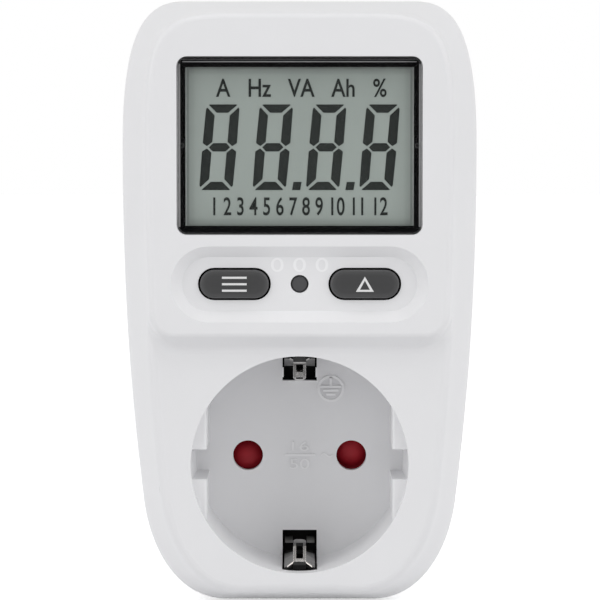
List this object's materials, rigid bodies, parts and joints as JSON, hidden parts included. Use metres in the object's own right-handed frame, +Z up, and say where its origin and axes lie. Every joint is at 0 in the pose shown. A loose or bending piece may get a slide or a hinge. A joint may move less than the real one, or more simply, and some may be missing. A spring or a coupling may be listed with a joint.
{
  "type": "plug-in energy monitor",
  "caption": "Plug-in energy meter with a raised display block, sunk key strip, and an earthed side-clip socket in front with its matching plug behind.",
  "frame": {"origin": "centre of the plug face, the flat face that the pins leave", "axes": "+Y along the plug pins into the wall, the display and socket face -Y, +Z up to the display"},
  "size_m": [0.064, 0.076, 0.1083],
  "materials": {
    "housing": "fine satin, injection moulded",
    "lens": "clear polished acrylic",
    "black_plastic": "satin",
    "lcd": "polarised liquid crystal cell, grey-green",
    "white_plastic": "matt film",
    "elastomer": "layered silicone",
    "key": "fine satin",
    "plunger": "satin",
    "board": "solder resist",
    "capacitor_box": "potted box",
    "capacitor_can": "sleeved can",
    "varistor_coat": "dipped epoxy",
    "steel": "bright",
    "copper": "copper alloy, plain",
    "shutter": "satin",
    "brass": "plain",
    "nickel": "nickel plated",
    "brown_lead": "insulated wire",
    "blue_lead": "insulated wire"
  },
  "bodies": {
    "housing": {"front_cover": "housing", "rear_cover": "housing", "display_lens": "lens", "lcd_frame": "black_plastic", "lcd_glass": "lcd", "lcd_reflector": "white_plastic", "upper_connector_strip": "elastomer", "lower_connector_strip": "elastomer", "mode_switch": "black_plastic", "up_switch": "black_plastic", "reset_switch": "black_plastic", "main_board": "board", "metering_chip": "black_plastic", "controller_chip": "black_plastic", "dropper_capacitor": "capacitor_box", "smoothing_capacitor": "capacitor_can", "varistor": "varistor_coat", "crystal": "steel", "backup_cell": "steel", "shunt": "copper", "shutter_spring": "steel", "contact_carrier": "black_plastic", "live_contact": "brass", "neutral_contact": "brass", "upper_earth_clip": "nickel", "lower_earth_clip": "nickel", "earth_bracket": "nickel", "upper_earth_strip": "nickel", "lower_earth_strip": "nickel", "live_pin": "nickel", "neutral_pin": "nickel", "neutral_strap": "copper", "supply_lead": "brown_lead", "load_lead": "brown_lead", "sense_lead": "blue_lead", "housing_screws": "steel", "board_screws": "steel", "carrier_screws": "steel"},
    "mode_key": {"mode_button": "key", "mode_plunger": "plunger"},
    "up_key": {"up_button": "key", "up_plunger": "plunger"},
    "reset_key": {"reset_button": "key", "reset_plunger": "plunger"},
    "shutter": {"shutter": "shutter"}
  },
  "joints": [
    {"name": "mode_press", "type": "slide", "parent": "housing", "child": "mode_key", "axis": [0, 1, 0], "range_m": [0, 0.0004], "stiffness_N_per_m": 4000},
    {"name": "up_press", "type": "slide", "parent": "housing", "child": "up_key", "axis": [0, 1, 0], "range_m": [0, 0.0004], "stiffness_N_per_m": 4000},
    {"name": "reset_press", "type": "slide", "parent": "housing", "child": "reset_key", "axis": [0, 1, 0], "range_m": [0, 0.0004], "stiffness_N_per_m": 4000},
    {"name": "shutter_turn", "type": "hinge", "parent": "housing", "child": "shutter", "pos_m": [0, -0.033, 0], "axis": [0, 1, 0], "range_deg": [0, 36], "stiffness_Nm_per_rad": 0.02, "deforming": ["shutter_spring"]}
  ]
}
